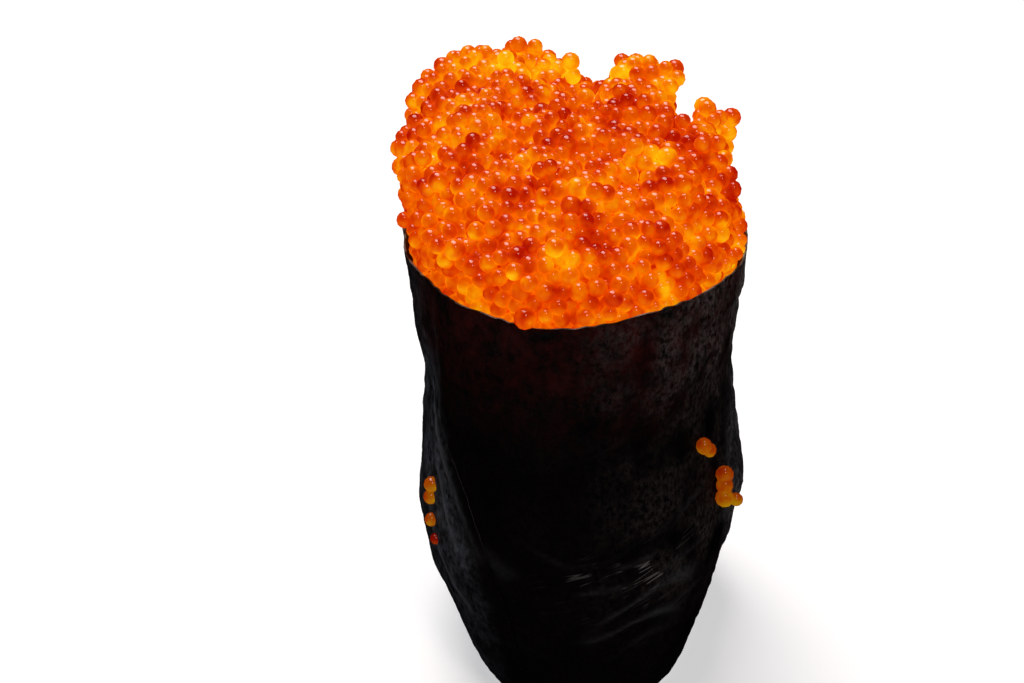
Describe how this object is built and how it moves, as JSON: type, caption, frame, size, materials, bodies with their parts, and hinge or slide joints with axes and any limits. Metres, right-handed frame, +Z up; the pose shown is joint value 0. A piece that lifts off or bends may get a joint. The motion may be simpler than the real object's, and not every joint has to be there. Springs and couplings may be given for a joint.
{
  "type": "gunkan sushi with flying fish roe",
  "caption": "Oval gunkan sushi: a tall band of dark seaweed wrapped round pressed rice and filled to overflowing with a heap of orange flying fish roe.",
  "frame": {"origin": "middle of the flat underside of the rice", "axes": "+Z up, +Y along the oval's long way towards the high end of the heap, +X across the oval"},
  "size_m": [0.0305, 0.0414, 0.0512],
  "materials": {
    "rice": "moist, slightly glossy grains",
    "nori": "glossy, finely wrinkled",
    "roe": "wet and translucent"
  },
  "bodies": {
    "root": {"rice_core": "rice", "nori_band": "nori", "roe_heap": "roe"}
  },
  "joints": []
}
